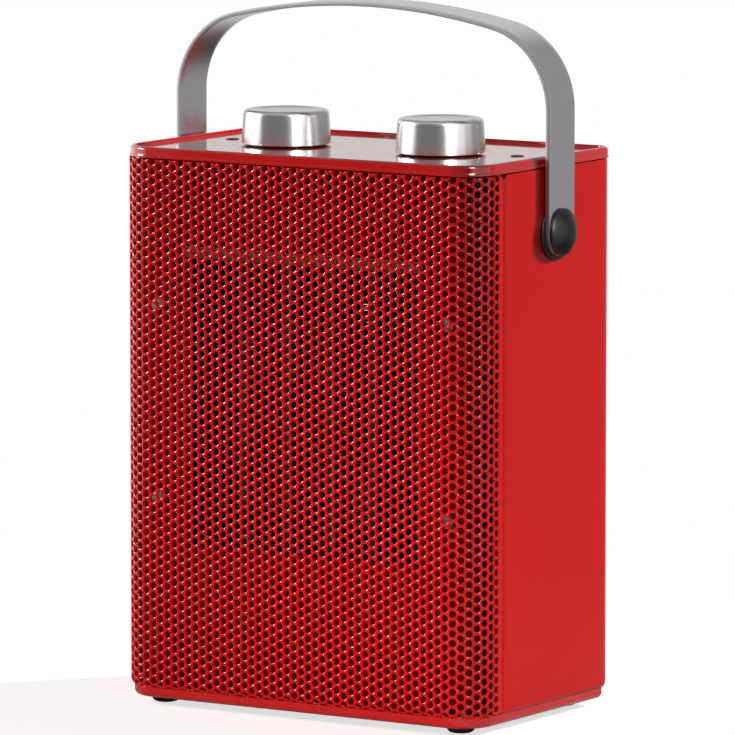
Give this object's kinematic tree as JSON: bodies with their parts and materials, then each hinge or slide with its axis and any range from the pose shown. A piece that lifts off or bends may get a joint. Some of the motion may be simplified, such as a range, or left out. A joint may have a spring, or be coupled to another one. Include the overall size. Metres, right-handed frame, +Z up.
{
  "type": "portable fan heater",
  "caption": "Upright fan heater: red sheet steel case with a perforated front wrapped round its corners, metal knobs on the top panel and a steel strap handle that swings over it.",
  "frame": {"origin": "on the floor, under the middle of the case", "axes": "+X to the right seen from the front, +Y from the grille to the back, +Z up"},
  "size_m": [0.197, 0.112, 0.299],
  "materials": {
    "red_enamel": "gloss enamel on sheet steel",
    "red_plastic": "gloss moulded plastic",
    "strap_steel": "satin",
    "plain_steel": "zinc plated",
    "black_steel": "black oxide",
    "knob_metal": "satin",
    "heater_aluminium": "plain",
    "brass": "plain",
    "black_plastic": "moulded",
    "cap_plastic": "gloss",
    "cream_plastic": "moulded",
    "foot_rubber": "matt",
    "ferrite": "sintered"
  },
  "bodies": {
    "case": {"base_tray": "red_plastic", "rubber_feet": "foot_rubber", "foot_screws": "plain_steel", "front_grille": "red_enamel", "rear_shell": "red_enamel", "seam_strips": "plain_steel", "top_cap": "red_plastic", "top_screws": "black_steel", "rear_screws": "black_steel", "chassis_bridge": "plain_steel", "front_baffle": "red_enamel", "baffle_screws": "plain_steel", "heater_frame": "black_plastic", "heater_bars": "heater_aluminium", "heater_fins": "heater_aluminium", "heater_terminals": "brass", "thermal_cutout": "plain_steel", "fan_shroud": "black_plastic", "motor_bracket": "plain_steel", "bracket_screws": "plain_steel", "motor_can": "plain_steel", "motor_magnets": "ferrite", "motor_end_cap": "black_plastic", "motor_bearings": "brass", "thermostat_body": "black_plastic", "selector_body": "black_plastic", "control_nuts": "plain_steel", "pivot_washers": "black_plastic", "pivot_bolts": "plain_steel", "pivot_nuts": "plain_steel", "pivot_caps": "cap_plastic", "cord_gland": "black_plastic", "gland_nut": "black_plastic", "terminal_block": "cream_plastic", "tilt_switch": "black_plastic"},
    "handle": {"handle_strap": "strap_steel"},
    "temp_knob": {"temp_knob_shell": "knob_metal", "temp_knob_core": "black_plastic", "thermostat_shaft": "plain_steel"},
    "mode_knob": {"mode_knob_shell": "knob_metal", "mode_knob_core": "black_plastic", "selector_shaft": "plain_steel"},
    "fan": {"fan_rotor": "black_plastic", "motor_shaft": "plain_steel", "motor_armature": "plain_steel"}
  },
  "joints": [
    {"name": "handle_swing", "type": "hinge", "parent": "case", "child": "handle", "pos_m": [0, 0.006, 0.206], "axis": [1, 0, 0], "range_deg": [-118, 110]},
    {"name": "temp_knob_turn", "type": "hinge", "parent": "case", "child": "temp_knob", "pos_m": [-0.0386, -0.002, 0.2436], "axis": [0, 0, 1], "range_deg": [-300, 0]},
    {"name": "mode_knob_turn", "type": "hinge", "parent": "case", "child": "mode_knob", "pos_m": [0.0386, -0.002, 0.2436], "axis": [0, 0, 1], "range_deg": [-180, 90]},
    {"name": "fan_spin", "type": "hinge", "parent": "case", "child": "fan", "pos_m": [0, 0, 0.13], "axis": [0, 1, 0], "continuous": true}
  ]
}
